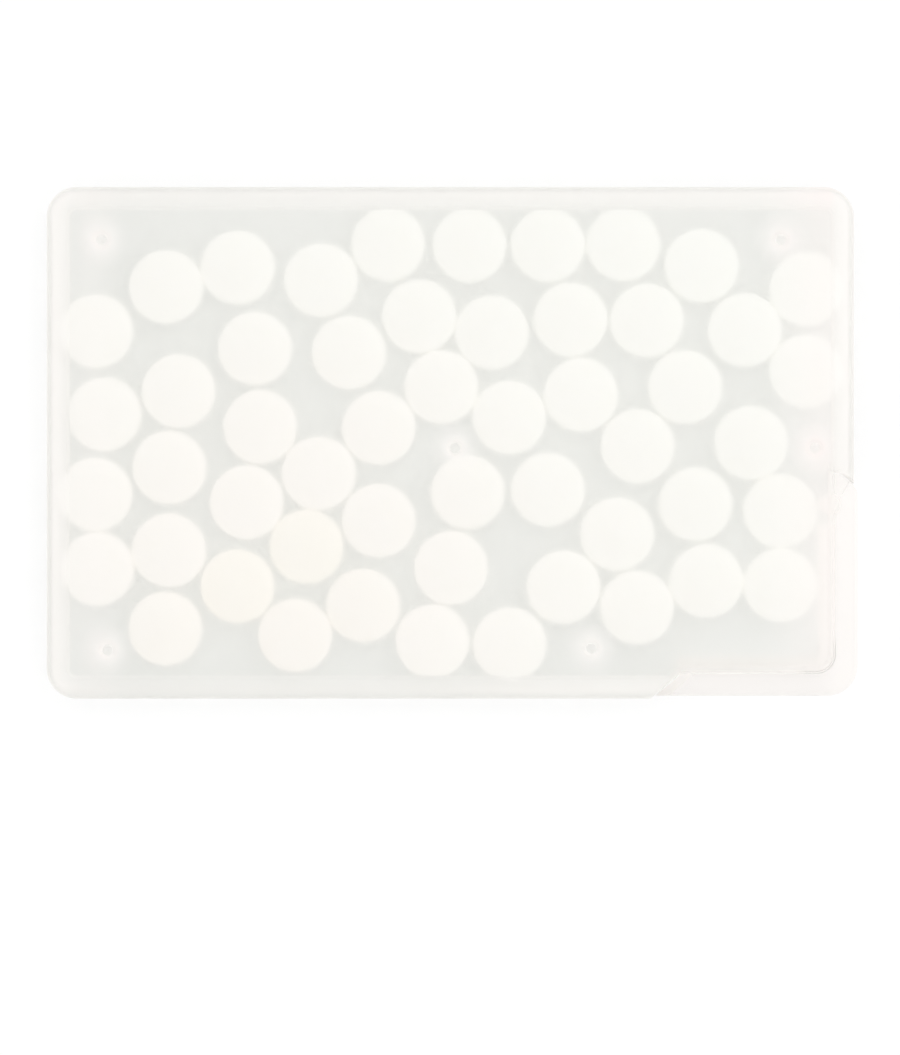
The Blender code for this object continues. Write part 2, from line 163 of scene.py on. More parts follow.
class Graph:
    """The node tree of one material or world. Every node comes from its method node.

    Attributes:
        tree: The node tree.
    """

    def __init__(self, tree: bpy.types.NodeTree) -> None:
        """Empties the node tree, to work on it."""
        self.tree = tree
        tree.nodes.clear()

    def node(self, kind: str, settings: Optional[dict[str, Any]] = None,
             inputs: Optional[dict[Any, Any]] = None) -> bpy.types.Node:
        """Adds a node.

        Args:
            kind: The node's type.
            settings: Its own settings, which are set first; "stops" fills a colour ramp.
            inputs: A value, a Signal or an output for each input, by name or number.

        Returns:
            The node.
        """
        made = self.tree.nodes.new(kind)
        for name, value in (settings or {}).items():
            if name == "stops":
                self._fill_ramp(made.color_ramp, value)
            else:
                setattr(made, name, value)
        for key, value in (inputs or {}).items():
            if isinstance(value, Signal):
                self.tree.links.new(value.socket, made.inputs[key])
            elif isinstance(value, Socket):
                self.tree.links.new(value, made.inputs[key])
            else:
                made.inputs[key].default_value = value
        return made

    @staticmethod
    def _fill_ramp(ramp: bpy.types.ColorRamp, stops: tuple[tuple[float, Colour], ...]) -> None:
        """Gives a colour ramp its stops.

        Args:
            ramp: The ramp.
            stops: Two or more pairs of a place and a colour.
        """
        while len(ramp.elements) < len(stops):
            ramp.elements.new(1.0)
        for element, (place, colour) in zip(ramp.elements, stops):
            element.position = place
            element.color = (*colour, 1.0)

    def signal(self, kind: str, settings: Optional[dict[str, Any]] = None,
               inputs: Optional[dict[Any, Any]] = None, output: Union[int, str] = 0) -> Signal:
        """Adds a node and takes one of its outputs as a number."""
        return Signal(self, self.node(kind, settings, inputs).outputs[output])

    def mix_shader(self, share: Signal, first: bpy.types.Node,
                   second: bpy.types.Node) -> bpy.types.Node:
        """Adds a shader between two others.

        Args:
            share: How much of the second there is.
            first: The shader at 0.
            second: The shader at 1.

        Returns:
            The node.
        """
        shaders = {0: share, 1: first.outputs[0], 2: second.outputs[0]}
        return self.node("ShaderNodeMixShader", None, shaders)

    def ray(self, question: str) -> Signal:
        """1 for the rays that a question of the Light Path node is true of, and 0 for others."""
        return self.signal("ShaderNodeLightPath", output=question)

    def coordinates(self, pattern: Pattern = Pattern.OBJECT) -> Socket:
        """The coordinates that a pattern is laid out on."""
        return self.node("ShaderNodeTexCoord").outputs[pattern.value]

    def axes(self, vector: Socket) -> tuple[Signal, ...]:
        """The x, y and z of a vector."""
        parts = self.node("ShaderNodeSeparateXYZ", None, {0: vector}).outputs
        return tuple(Signal(self, part) for part in parts)

    def steepness(self) -> Signal:
        """How upright a face is: 0 where it looks up or down and 1 where it looks sideways."""
        return (1.0 - self.axes(self.coordinates(Pattern.NORMAL))[2].size()).held()

    def vector(self, operation: str, first: Any, second: Any = BLACK) -> Socket:
        """A vector or colour worked out from one or two others."""
        made = self.node("ShaderNodeVectorMath", {"operation": operation}, {0: first, 1: second})
        return made.outputs[0]

    def distance(self, spot: Point) -> Signal:
        """How far a place is from a spot, seen from above."""
        flat = self.vector("MULTIPLY", self.coordinates(), (1.0, 1.0, 0.0))
        return self.signal("ShaderNodeVectorMath", {"operation": "DISTANCE"},
                           {0: flat, 1: (*spot, 0.0)}, "Value")

    def noise(self, size: float, detail: float) -> Signal:
        """Soft noise between 0 and 1.

        Args:
            size: The grain's size in metres.
            detail: How many finer octaves it has.

        Returns:
            The noise.
        """
        return self.signal("ShaderNodeTexNoise", None,
                           {"Vector": self.coordinates(), "Scale": 1.0 / size, "Detail": detail})

    def blend(self, share: Value, first: Union[Colour, Socket],
              second: Union[Colour, Socket]) -> Socket:
        """A colour between two others.

        Args:
            share: How much of the second there is.
            first: The colour at 0.
            second: The colour at 1.

        Returns:
            The mixed colour.
        """
        ends = [end if isinstance(end, Socket) else (*end, 1.0) for end in (first, second)]
        mix = self.node("ShaderNodeMix", {"data_type": "RGBA"},
                        {0: share, MIX_FIRST: ends[0], MIX_SECOND: ends[1]})
        return mix.outputs[MIX_RESULT]

    def ramp(self, place: Signal, stops: Pairs) -> Signal:
        """A number read off straight lines between stops.

        Args:
            place: Where to read, in the unit of the stops.
            stops: Pairs of a place and the number there, in order.

        Returns:
            The number.
        """
        low, high = stops[0][0], stops[-1][0]
        shares = tuple(((at - low) / (high - low), (number,) * 3) for at, number in stops)
        return self.signal("ShaderNodeValToRGB", {"stops": shares},
                           {0: (place - low) * (1.0 / (high - low))})

    def bump(self, height: Signal, depth: float) -> Socket:
        """A bump from a height between 0 and 1 that stands for depth metres."""
        made = self.node("ShaderNodeBump", None,
                         {"Height": height, "Distance": depth, "Strength": 1.0})
        return made.outputs[0]


def new_material(name: str) -> tuple[bpy.types.Material, Graph]:
    """Makes an empty material.

    Args:
        name: Its name.

    Returns:
        The material and its graph.
    """
    material = bpy.data.materials.new(name)
    material.use_nodes = True
    return material, Graph(material.node_tree)


# Finishes.

@dataclass(frozen=True)
class FrostedPlastic:
    """Milky polypropylene from a spark-eroded mould: see-through, but never sharply.

    Attributes:
        name: The material's name.
        light: Colour where the wall is thinnest.
        dense: Colour where it is a little denser.
        white: Colour of the milky share.
        passing: What one face lets through of the light that falls on the things inside.
        index: Refractive index.
        roughness: Mean roughness of the frosting.
        rim_milk: Pairs of a distance past the panel's edge and a face's milky share there.
        grain: Size of the frosting's grain.
        grain_depth: Depth of the frosting's grain.
        grain_rough: How far the grain makes the roughness vary.
        flow: Size of the clouds that the flow of the plastic left.
        flow_rough: How far the clouds make the roughness vary.
        flow_milk: Share of the rim's milk that the densest cloud adds.
        panel_middle: Middle of the panel.
        panel_half: Half of its length and width.
        panel_corner: Corner of the panel.
        painted_light_pull: How much milkier, and so lighter, the rim gets per metre along and up
            the card: painted light that falls from the upper right.
        base_milk: Share of the rim's milk that the long sides have at least.
        foot_milk: Pairs of a place along the card and what the lower side has more.
        foot_fade: How fast that comes in, per metre down from the card's middle.
        end_milk: What the short sides have more than the long ones.
        end_reach: How far from the card's middle that starts, and is full.
        posts: Middles of the posts, which are solid and so look milkier.
        post_rings: Pairs of a distance from a post's middle and the milk it adds there.
        steep_milk: How much milkier an upright face looks than a flat one.
        painted_glow: Colour of a painted glow on an upright milky face, which stands for light
            scattered inside the plastic.
        painted_glow_strength: How strong it is.
        painted_glow_rim: Pairs of a distance past the panel's edge and the share of that painted
            glow there.
        haze: Pairs of a place along the card and the milk that the panel has there.
        haze_white: Colour of that milk where it is thick.
        haze_pull: How fast it takes that colour, per share of haze.
        slit_shade_spot: The slit's corner, where the upright walls lose their milk and painted glow
            and take a painted shade, so the slit reads dark.
        slit_shade_rings: Pairs of a distance from that corner and what is left of an upright face's
            milk and painted glow.
        painted_slit_shade: Dark colour of the upright walls there: painted shade of the slit.
    """

    name: str
    light: Colour = (0.996, 0.998, 0.990)
    dense: Colour = (0.988, 0.990, 0.980)
    white: Colour = (0.988, 0.962, 0.938)
    passing: Colour = (0.985, 0.983, 0.978)
    index: float = 1.49
    roughness: float = 0.31
    rim_milk: Pairs = (
        (-0.0005, 0.02), (0.0004, 0.24), (0.0014, 0.36), (0.0018, 0.12), (0.0022, 0.10))
    grain: float = 0.00012
    grain_depth: float = 0.000004
    grain_rough: float = 0.04
    flow: float = 0.018
    flow_rough: float = 0.08
    flow_milk: float = 0.30
    panel_middle: Point = (-0.0002, 0.0)
    panel_half: Point = (0.0404, 0.0248)
    panel_corner: float = 0.0007
    painted_light_pull: Point = (3.8, 5.0)
    base_milk: float = 0.43
    foot_milk: Pairs = ((0.0, 0.0), (0.008, 0.22), (0.020, 0.26))
    foot_fade: float = 38.0
    end_milk: float = 0.76
    end_reach: Point = (0.0390, 0.0410)
    posts: tuple[Point, ...] = ()
    post_rings: Pairs = (
        (0.0, 0.11), (0.0004, 0.11), (0.0006, 0.38), (0.0009, 0.46), (0.0012, 0.28), (0.0016, 0.17),
        (0.0022, 0.10), (0.0030, 0.0))
    steep_milk: float = 0.45
    painted_glow: Colour = (1.0, 0.98, 0.96)
    painted_glow_strength: float = 0.14
    painted_glow_rim: Pairs = ((0.0008, 0.7), (0.0014, 0.0))
    haze: Pairs = ()
    haze_white: Colour = (0.990, 0.932, 0.910)
    haze_pull: float = 4.5
    slit_shade_spot: Point = (0.0393, -0.0233)
    slit_shade_rings: Pairs = ((0.0, 0.0), (0.0022, 0.0), (0.0032, 1.0))
    painted_slit_shade: Colour = (0.52, 0.55, 0.52)

    def past_panel(self, graph: Graph) -> Signal:
        """The distance d past the panel's rounded box.

        With q = |p - middle| - (half - corner), d = |max(q, 0)| + min(max(qx, qy), 0) - corner.

        Args:
            graph: The material's graph.

        Returns:
            The distance, which is negative inside the panel.
        """
        # The box is taken as two metres high, which leaves the height out of the sum.
        inner = (*(half - self.panel_corner for half in self.panel_half), 1.0)
        moved = graph.vector("SUBTRACT", graph.coordinates(), (*self.panel_middle, 0.0))
        past = graph.vector("SUBTRACT", graph.vector("ABSOLUTE", moved), inner)
        outside = graph.signal("ShaderNodeVectorMath", {"operation": "LENGTH"},
                               {0: graph.vector("MAXIMUM", past)}, "Value")
        past_x, past_y, _ = graph.axes(past)
        return outside + past_x.above(past_y).below(0.0) - self.panel_corner

    def rings(self, graph: Graph) -> Signal:
        """How much milk the posts add, by the distance to the nearest one.

        Args:
            graph: The material's graph.

        Returns:
            The added share.
        """
        away = graph.distance(self.posts[0])
        for post in self.posts[1:]:
            away = away.below(graph.distance(post))
        return graph.ramp(away, self.post_rings)

    def milk(self, graph: Graph, flow: Signal, past: Signal) -> Signal:
        """The milk of the rim round the panel.

        It is the milk past the panel's edge times the share of it that this part of the
        card has: a base, the clouds, painted light that makes the rim milkier and so
        lighter along and up the card, more at the short sides and more along the lower side.

        Args:
            graph: The material's graph.
            flow: The clouds.
            past: The distance past the panel's edge.

        Returns:
            The milky share.
        """
        along, up, _ = graph.axes(graph.coordinates())
        start, full = self.end_reach
        ends = graph.ramp(along.size(), ((start, 0.0), (full, self.end_milk)))
        # Painted light: the rim grows milkier and lighter towards the right and the top.
        painted_light_share = along * self.painted_light_pull[0] + up * self.painted_light_pull[1]
        foot = graph.ramp(along, self.foot_milk) * (up * -self.foot_fade).held()
        part = self.base_milk + flow * self.flow_milk + painted_light_share + ends + foot
        return graph.ramp(past, self.rim_milk) * part

    def build(self) -> bpy.types.Material:
        """Makes the material.

        The camera sees rough clear plastic with a milky share. Shadow rays and diffuse
        rays pass as through a pane, which lights what lies inside.

        Returns:
            The material.
        """
        material, graph = new_material(self.name)
        flow = graph.noise(self.flow, detail=3.0)
        grain = graph.noise(self.grain, detail=1.0)
        wall = graph.steepness()
        # Near the slit's corner the upright faces lose their milk and painted glow.
        steep = wall * graph.ramp(graph.distance(self.slit_shade_spot), self.slit_shade_rings)
        past = self.past_panel(graph)
        share = self.milk(graph, flow, past) + steep * self.steep_milk
        white = (*self.white, 1.0)
        if self.haze:
            haze = graph.ramp(graph.axes(graph.coordinates())[0], self.haze)
            share = share + haze
            white = graph.blend((haze * self.haze_pull).held(), self.white, self.haze_white)
        if self.posts:
            share = share + self.rings(graph)
        smooth = self.roughness - (self.flow_rough + self.grain_rough) / 2
        frosting = {"Roughness": smooth + flow * self.flow_rough + grain * self.grain_rough,
                    "IOR": self.index, "Normal": graph.bump(grain, self.grain_depth)}
        # Painted shade: there the upright walls take a dark grey instead, so the slit reads dark.
        tone = graph.blend(wall - steep, graph.blend(flow, self.light, self.dense), self.painted_slit_shade)
        clear = graph.node("ShaderNodeBsdfPrincipled", None, {
            "Base Color": tone, "Transmission Weight": 1.0, **frosting})
        # Painted glow: upright faces near the rim give off light of their own, which stands for
        # light scattered inside the plastic.
        painted_glow = graph.blend(steep * graph.ramp(past, self.painted_glow_rim), BLACK, self.painted_glow)
        milky = graph.node("ShaderNodeBsdfPrincipled", None, {
            "Base Color": white, "Emission Color": painted_glow,
            "Emission Strength": self.painted_glow_strength, **frosting})
        body = graph.mix_shader(share.held(), clear, milky)
        pane = graph.node("ShaderNodeBsdfTransparent", None, {"Color": (*self.passing, 1.0)})
        surface = graph.mix_shader(graph.ray("Is Diffuse Ray"), body, pane)
        surface = graph.mix_shader(graph.ray("Is Shadow Ray"), surface, pane)
        graph.node("ShaderNodeOutputMaterial", None, {"Surface": surface.outputs[0]})
        return material


class Tint(Enum):
    """How creamy a mint is."""

    WHITE = "mint_white"
    IVORY = "mint_ivory"
    CREAM = "mint_cream"


@dataclass(frozen=True)
class ChalkyMint:
    """Pressed powder: matt, warm white, a little mottled, with pits and rubbed edges, and a painted
    glow on its steep sides that lightens their shade.

    Attributes:
        name: The material's name.
        pale: The commoner colour.
        warm: The colour of the denser spots.
        index: Refractive index.
        roughness: Least roughness.
        mottle: Size of the mottling.
        contrast: How sharply the mottling goes from the one colour to the other.
        pit: Size of the powder's pits.
        pit_depth: Depth of the pits.
        pit_rough: How much rougher the powder is at the pits' rims.
        painted_cool_tint: What is left of a colour at the cool end of the card: a painted tint of
            the light.
        painted_tint_middle: How far the card's middle is on the way to that end.
        painted_tint_pull: How fast that end is reached, along and up the card, as a share per
            metre.
        painted_warm_tint: What is left of a colour in the warmest part of the card: a painted tint
            of the light.
        painted_warm_spot: The middle of that part.
        painted_warm_rings: Pairs of a distance from there and how warm it is.
        painted_glow: Colour of a painted glow on a mint's steep side, which lightens its shade and
            stands for light scattered inside the powder.
        painted_glow_strength: How strong it is.
    """

    name: str
    pale: Colour = (0.994, 0.968, 0.941)
    warm: Colour = (0.987, 0.957, 0.920)
    index: float = 1.45
    roughness: float = 0.82
    mottle: float = 0.0016
    contrast: float = 1.6
    pit: float = 0.00028
    pit_depth: float = 0.00003
    pit_rough: float = 0.1
    painted_cool_tint: Colour = (0.966, 1.0, 1.0)
    painted_tint_middle: float = 0.5
    painted_tint_pull: Point = (5.0, 9.7)
    painted_warm_tint: Colour = (1.0, 0.989, 0.989)
    painted_warm_spot: Point = (-0.0152, -0.0100)
    painted_warm_rings: Pairs = ((0.0, 1.0), (0.012, 1.0), (0.026, 0.0))
    painted_glow: Colour = (1.0, 0.985, 0.955)
    painted_glow_strength: float = 0.16

    def build(self) -> bpy.types.Material:
        """Makes the material.

        Returns:
            The material.
        """
        material, graph = new_material(self.name)
        mottle = graph.noise(self.mottle, detail=3.0)
        pits = graph.noise(self.pit, detail=2.0)
        along, up, _ = graph.axes(graph.coordinates())
        spots = (mottle * self.contrast + (1.0 - self.contrast) / 2).held()
        # Painted tint of the light: the mints turn cooler towards the upper right and warmer round
        # a spot at the lower left.
        painted_cool_share = (self.painted_tint_middle + along * self.painted_tint_pull[0] + up * self.painted_tint_pull[1]).held()
        painted_warm_share = graph.ramp(graph.distance(self.painted_warm_spot), self.painted_warm_rings)
        colour = graph.vector("MULTIPLY", graph.blend(spots, self.pale, self.warm),
                              graph.blend(painted_cool_share, WHITE, self.painted_cool_tint))
        colour = graph.vector("MULTIPLY", colour, graph.blend(painted_warm_share, WHITE, self.painted_warm_tint))
        # The emission is a painted glow on the steep sides, which lightens their shade.
        shader = graph.node("ShaderNodeBsdfPrincipled", None, {
            "Base Color": colour, "Roughness": self.roughness + pits * self.pit_rough,
            "IOR": self.index, "Normal": graph.bump(pits, self.pit_depth),
            "Emission Color": graph.blend(graph.steepness(), BLACK, self.painted_glow),
            "Emission Strength": self.painted_glow_strength})
        graph.node("ShaderNodeOutputMaterial", None, {"Surface": shader.outputs[0]})
        return material


MINT_FINISHES = {
    Tint.WHITE: ChalkyMint(Tint.WHITE.value),
    Tint.IVORY: ChalkyMint(Tint.IVORY.value, pale=(0.991, 0.964, 0.930),
                           warm=(0.984, 0.953, 0.909), mottle=0.0024),
    Tint.CREAM: ChalkyMint(Tint.CREAM.value, pale=(0.991, 0.964, 0.914),
                           warm=(0.984, 0.953, 0.893), mottle=0.0030),
}
MINT_TINTS = {"mint_13": Tint.IVORY, "mint_21": Tint.IVORY, "mint_22": Tint.IVORY,
              "mint_16": Tint.CREAM, "mint_18": Tint.CREAM}


@dataclass(frozen=True)
class WhiteFloor:
    """A pale floor that reads as white paper and keeps the card's shadow.

    The card itself gets the even sky from below too, as in a light tent.

    Attributes:
        name: The material's name.
        glow: How much of its white it has without any light on it.
        lift: What makes up for the light that the room keeps from it.
    """

    name: str
    glow: float = 0.50
    lift: float = 1.03

    def build(self) -> bpy.types.Material:
        """Makes the material, which lets a view from below pass through.

        Returns:
            The material.
        """
        material, graph = new_material(self.name)
        seen = graph.ray("Is Camera Ray").above(graph.ray("Is Glossy Ray"))
        seen = seen.above(graph.ray("Is Transmission Ray"))
        lit = (1.0 - self.glow) * self.lift
        paper = graph.node("ShaderNodeBsdfDiffuse", None, {"Color": (lit, lit, lit, 1.0)})
        glow = graph.node("ShaderNodeEmission", None,
                          {"Color": (*WHITE, 1.0), "Strength": self.glow})
        white = graph.node("ShaderNodeAddShader", None, {0: paper.outputs[0], 1: glow.outputs[0]})
        clear = graph.node("ShaderNodeBsdfTransparent")
        above = seen * (1.0 - graph.signal("ShaderNodeNewGeometry", output="Backfacing"))
        both = graph.mix_shader(above, clear, white)
        graph.node("ShaderNodeOutputMaterial", None, {"Surface": both.outputs[0]})
        return material


# Meshes.

def mesh_object(name: str, points: np.ndarray, faces: list[np.ndarray]) -> bpy.types.Object:
    """Makes an object from arrays.

    Args:
        name: The object's name.
        points: One row of x, y and z per vertex.
        faces: Arrays of vertex numbers, one row per face, each array with its own count.

    Returns:
        The object, linked to the scene and shaded smooth.
    """
    mesh = bpy.data.meshes.new(name)
    mesh.from_pydata(points.tolist(), [], [row for rows in faces for row in rows.tolist()])
    mesh.update()
    mesh.shade_smooth()
    made = bpy.data.objects.new(name, mesh)
    bpy.context.scene.collection.objects.link(made)
    return made


def ring_faces(rings: int, sides: int) -> np.ndarray:
    """Four-sided faces between rings of vertices numbered ring by ring.

    Face (i, j) joins ring i to ring i + 1 between side j and side j + 1, which wraps.

    Args:
        rings: How many rings there are.
        sides: How many vertices each ring has.

    Returns:
        One row of four vertex numbers per face.
    """
    start = np.arange(rings - 1)[:, None] * sides
    side = np.arange(sides)[None]
    after = (side + 1) % sides
    corners = (start + side, start + after, start + sides + after, start + sides + side)
    return np.stack(corners, axis=-1).reshape(-1, 4)


@dataclass
class MintLayer:
    """The loose mints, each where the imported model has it.

    Attributes:
        band_share: The straight band's share of a mint's height.
        edge_share: The rounded edge's share of a mint's radius.
        sides: Vertices round a mint.
        crown_rings: Rings on each crown.
        edge_rings: Rings on each rounded edge.
        wear: How far the edge is rubbed away at most.
        wear_waves: How many times each of the wear's sines goes round the rim.
        wear_least: The smallest share of a sine's full size.
        wear_power: How fast the wear dies out towards the middle.
        seed: Seed of the wear.
        body: The body that carries them.
    """

    band_share: float = 0.46
    edge_share: float = 0.035
    sides: int = 96
    crown_rings: int = 12
    edge_rings: int = 5
    wear: float = 0.00005
    wear_waves: tuple[int, ...] = (2, 3, 4, 5, 6, 7, 8)
    wear_least: float = 0.2
    wear_power: int = 6
    seed: int = 27
    body: str = "case"

    def profile(self, radius: float, height: float) -> tuple[np.ndarray, np.ndarray]:
        """Half of a mint's outline, from the middle of its foot to the middle of its crown.

        The crown is a cap of a sphere, r = R sin(a), z = H - (R - R cos(a)), which a
        quarter round of radius e joins to the straight band.

        Args:
            radius: The mint's radius.
            height: Its height.

        Returns:
            The radii and heights of the rings, poles left out.
        """
        rise = height * (1.0 - self.band_share) / 2
        edge = radius * self.edge_share
        inner = radius - edge
        ball = (inner ** 2 + rise ** 2) / (2 * rise)
        turn = np.linspace(0.0, math.asin(inner / ball), self.crown_rings + 1)[1:]
        crown_r = ball * np.sin(turn)
        crown_z = height - (ball - ball * np.cos(turn))
        lean = np.linspace(turn[-1], QUARTER, self.edge_rings + 1)[1:]
        edge_r = crown_r[-1] + edge * (np.sin(lean) - math.sin(turn[-1])) / (1 - math.sin(turn[-1]))
        edge_z = crown_z[-1] - edge * (math.cos(turn[-1]) - np.cos(lean))
        upper_r = np.concatenate([crown_r, edge_r])
        upper_z = np.concatenate([crown_z, edge_z])
        return (np.concatenate([upper_r, upper_r[::-1]]),
                np.concatenate([upper_z, height - upper_z[::-1]]))

    def mint(self, name: str, low: Vector, high: Vector, number: int) -> bpy.types.Object:
        """Makes one mint in the box of its solid.

        Each ring is (r cos t, r sin t, z), with r drawn in by a sum of slow sines of t,
        deepest at the edge: the rubbed rim of a pressed mint.

        Args:
            name: The piece's name.
            low: Lowest corner of the box.
            high: Highest corner.
            number: The mint's number, for its wear.

        Returns:
            The mint.
        """
        rng = np.random.default_rng(self.seed + number)
        radius, height = (high.x - low.x) / 2, high.z - low.z
        rings_r, rings_z = self.profile(radius, height)
        angle = np.linspace(0.0, math.tau, self.sides, endpoint=False)
        waves = np.array(self.wear_waves)
        phase = rng.uniform(0.0, math.tau, waves.size)
        size = rng.uniform(self.wear_least, 1.0, waves.size) / waves
        ripple = (size[:, None] * np.sin(waves[:, None] * angle + phase[:, None])).sum(axis=0)
        ripple = (ripple - ripple.max()) / (ripple.max() - ripple.min())
        worn = self.wear * ripple[None] * (rings_r / radius)[:, None] ** self.wear_power
        reach = rings_r[:, None] + worn
        centre_x, centre_y = (low.x + high.x) / 2, (low.y + high.y) / 2
        grid = np.stack([centre_x + reach * np.cos(angle), centre_y + reach * np.sin(angle),
                         np.broadcast_to(low.z + rings_z[:, None], reach.shape)], axis=-1)
        poles = [(centre_x, centre_y, high.z), (centre_x, centre_y, low.z)]
        points = np.vstack([grid.reshape(-1, 3), poles])
        rings, top = len(rings_r), len(rings_r) * self.sides
        side = np.arange(self.sides)
        after = (side + 1) % self.sides
        last = (rings - 1) * self.sides
        cap = np.stack([np.full_like(side, top), side, after], axis=-1)
        foot = np.stack([np.full_like(side, top + 1), last + after, last + side], axis=-1)
        walls = ring_faces(rings, self.sides)[:, ::-1]
        return mesh_object(name, points, [walls, cap, foot])

    def build(self) -> list[bpy.types.Object]:
        """Makes every mint and lets it stand for its solid.

        Returns:
            The mints.
        """
        finishes = {tint: finish.build() for tint, finish in MINT_FINISHES.items()}
        made = []
        nodes = sorted(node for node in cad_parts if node.startswith("mint_"))
        for number, node in enumerate(nodes, start=1):
            low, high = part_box(node)
            piece = self.mint(f"pressed_{node}", Vector(low), Vector(high), number)
            piece.data.materials.append(finishes[MINT_TINTS.get(node, Tint.WHITE)])
            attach(piece, self.body)
            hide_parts(node)
            made.append(piece)
        return made


# Plan and solids of the case.

def arc(centre: Point, radius: float, start: float, end: float, steps: int) -> np.ndarray:
    """Points (cx + r cos a, cy + r sin a) along an arc, both ends included.

    Args:
        centre: The arc's centre.
        radius: Its radius.
        start: Angle it starts at.
        end: Angle it ends at.
        steps: How many chords it has.

    Returns:
        One row of x and y per point.
    """
    angle = np.linspace(start, end, steps + 1)
    across, up = radius * np.cos(angle), radius * np.sin(angle)
    return np.stack([centre[0] + across, centre[1] + up], axis=-1)


def circle(centre: Point, radius: float, sides: int) -> np.ndarray:
    """Points of a full circle."""
    return arc(centre, radius, 0.0, math.tau, sides)[:-1]


def box_outline(left: float, right: float, lower: float, upper: float,
                radius: float, steps: int) -> np.ndarray:
    """A rectangle with a quarter circle at each corner, anticlockwise.

    Args:
        left: Lowest x.
        right: Highest x.
        lower: Lowest y.
        upper: Highest y.
        radius: Radius of the corners.
        steps: Chords in each of them.

    Returns:
        One row of x and y per point.
    """
    centres = ((left + radius, lower + radius), (right - radius, lower + radius),
               (right - radius, upper - radius), (left + radius, upper - radius))
    return np.concatenate([
        arc(centre, radius, math.pi + turn * QUARTER, math.pi + (turn + 1) * QUARTER, steps)
        for turn, centre in enumerate(centres)])


def rounding(radius: float, steps: int) -> np.ndarray:
    """A quarter round from a flat face to a side: inset r (1 - sin a) and depth r (1 - cos a).

    Args:
        radius: Its radius r.
        steps: How many chords it has.

    Returns:
        One row of inset and depth per point.
    """
    angle = np.linspace(0.0, QUARTER, steps + 1)
    return radius * np.stack([1.0 - np.sin(angle), 1.0 - np.cos(angle)], axis=-1)


def eased(radius: float, height: float, out: float, up: float) -> Pairs:
    """A corner of a turned profile, rounded through three points.

    The middle one lies a third of the rounding away from the corner both ways.

    Args:
        radius: The corner's radius.
        height: The corner's height.
        out: How far the rounding reaches outwards, or inwards where it is negative.
        up: How far it reaches up, or down where it is negative.

    Returns:
        Pairs of radius and height, from the lowest up.
    """
    points = ((radius + out, height), (radius + out / 3, height + up / 3), (radius, height + up))
    return points if up > 0 else points[::-1]


